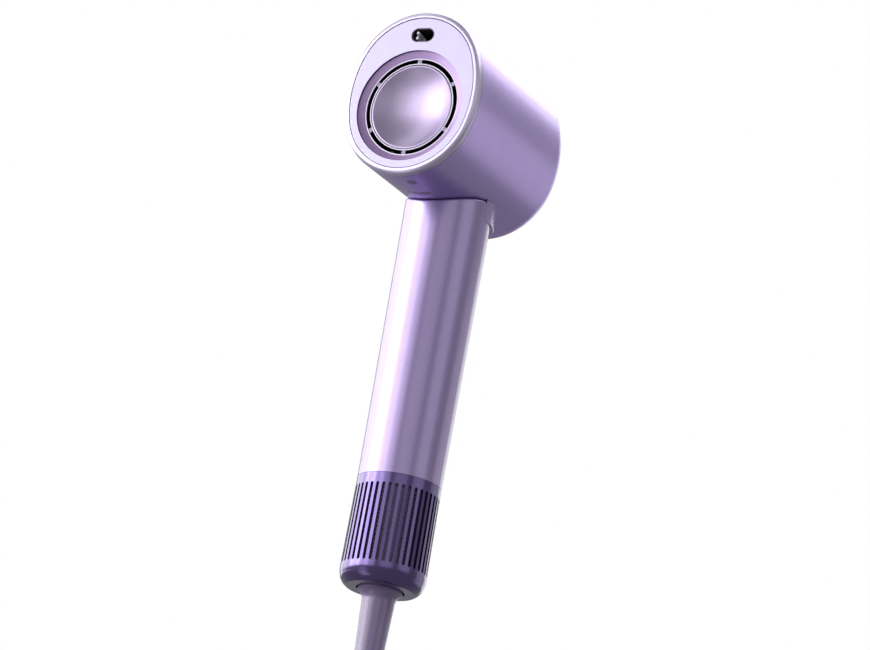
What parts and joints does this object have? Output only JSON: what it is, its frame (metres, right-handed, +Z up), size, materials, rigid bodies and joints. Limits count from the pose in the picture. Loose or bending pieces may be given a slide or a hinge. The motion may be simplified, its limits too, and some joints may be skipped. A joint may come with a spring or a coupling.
{
  "type": "travel hair dryer",
  "caption": "Slim handheld hair dryer: egg-section head with a ring-slot outlet, straight handle with the motor inside, slide-off intake cover, tied cord and plug.",
  "frame": {"origin": "middle of the grip, on the handle's axis", "axes": "+Z up the handle towards the head, air leaves towards -Y, controls face +Y, +X to the left of someone who looks at the face"},
  "size_m": [0.0642, 0.1107, 0.4619],
  "materials": {
    "shell_lavender": "satin pearl lacquer, pale lavender",
    "face_lavender": "satin pearl, lighter lavender",
    "recess_mauve": "satin pearl, deeper mauve, in the recess",
    "dish_pearl": "satin pearl, the outlet's centre",
    "rim_lavender": "bright satin rim",
    "ring_pearl": "thin pearl rings and spokes",
    "duct_black": "matt, dark",
    "dark_plastic": "moulded, dark grey",
    "inner_plastic": "moulded, mid grey",
    "handle_lavender": "satin anodised lavender",
    "cover_violet": "satin violet, metallic",
    "mesh_violet": "woven nylon mesh",
    "magnet": "sintered ring",
    "mica": "mica board",
    "heater_wire": "resistance wire",
    "steel": "bright steel",
    "nickel": "nickel plated",
    "lens": "frosted light window",
    "board_green": "circuit board",
    "aluminium": "bare",
    "copper": "enamelled copper",
    "wire_red": "silicone insulation",
    "wire_brown": "mains insulation",
    "mount_rubber": "soft rubber",
    "cord_violet": "matt greyed violet sheath",
    "tie": "reusable strap"
  },
  "bodies": {
    "dryer": {"head_shell": "shell_lavender", "front_bezel": "rim_lavender", "face_plate": "face_lavender", "outlet_seat": "recess_mauve", "outlet_grille": "ring_pearl", "center_dish": "dish_pearl", "magnet_ring": "magnet", "core_tube": "duct_black", "air_duct": "dark_plastic", "mica_frame": "mica", "heater_coils": "heater_wire", "thermostat": "steel", "thermal_fuse": "steel", "ion_port_liner": "duct_black", "ion_module": "dark_plastic", "ion_emitter": "rim_lavender", "heat_indicator_lens": "lens", "mode_indicator_lens": "lens", "indicator_board": "board_green", "neck_collar": "inner_plastic", "neck_screws": "steel", "neck_cowl": "shell_lavender", "handle_tube": "handle_lavender", "handle_liner": "inner_plastic", "control_panel": "face_lavender", "button_sleeve": "mount_rubber", "temp_switch": "dark_plastic", "slide_switch": "dark_plastic", "control_board": "board_green", "power_board": "board_green", "capacitor": "aluminium", "filter_choke": "copper", "heat_sink": "aluminium", "heater_wires": "wire_red", "motor_leads": "wire_red", "mains_wires": "wire_brown", "motor_housing": "aluminium", "motor_end_cap": "aluminium", "motor_bearings": "steel", "stator_core": "steel", "stator_windings": "copper", "motor_mounts": "mount_rubber", "intake_frame": "dark_plastic", "base_plate": "dark_plastic", "base_screws": "steel", "terminal_block": "dark_plastic", "cord_boot": "cord_violet", "cord_lead": "cord_violet", "cord_hank": "cord_violet", "cord_tail": "cord_violet", "hank_tie": "tie", "plug_body": "cord_violet", "plug_pins": "nickel"},
    "cover": {"intake_cover": "cover_violet", "cover_mesh": "mesh_violet"},
    "rotor": {"rotor_shaft": "steel", "rotor_magnet": "magnet", "impeller": "aluminium"},
    "button": {"temp_button": "ring_pearl"},
    "slider": {"power_slider": "ring_pearl"}
  },
  "joints": [
    {"name": "intake_cover_slide", "type": "slide", "parent": "dryer", "child": "cover", "axis": [0, 0, -1], "range_m": [0, 0.044]},
    {"name": "temp_button_press", "type": "slide", "parent": "dryer", "child": "button", "axis": [0, -1, 0], "range_m": [0, 0.0008], "stiffness_N_per_m": 800, "springref_m": -0.0006, "deforming": ["button_sleeve"]},
    {"name": "power_slider_slide", "type": "slide", "parent": "dryer", "child": "slider", "axis": [0, 0, 1], "range_m": [0, 0.006]},
    {"name": "rotor_spin", "type": "hinge", "parent": "dryer", "child": "rotor", "pos_m": [0, 0, -0.035], "axis": [0, 0, 1], "continuous": true}
  ]
}
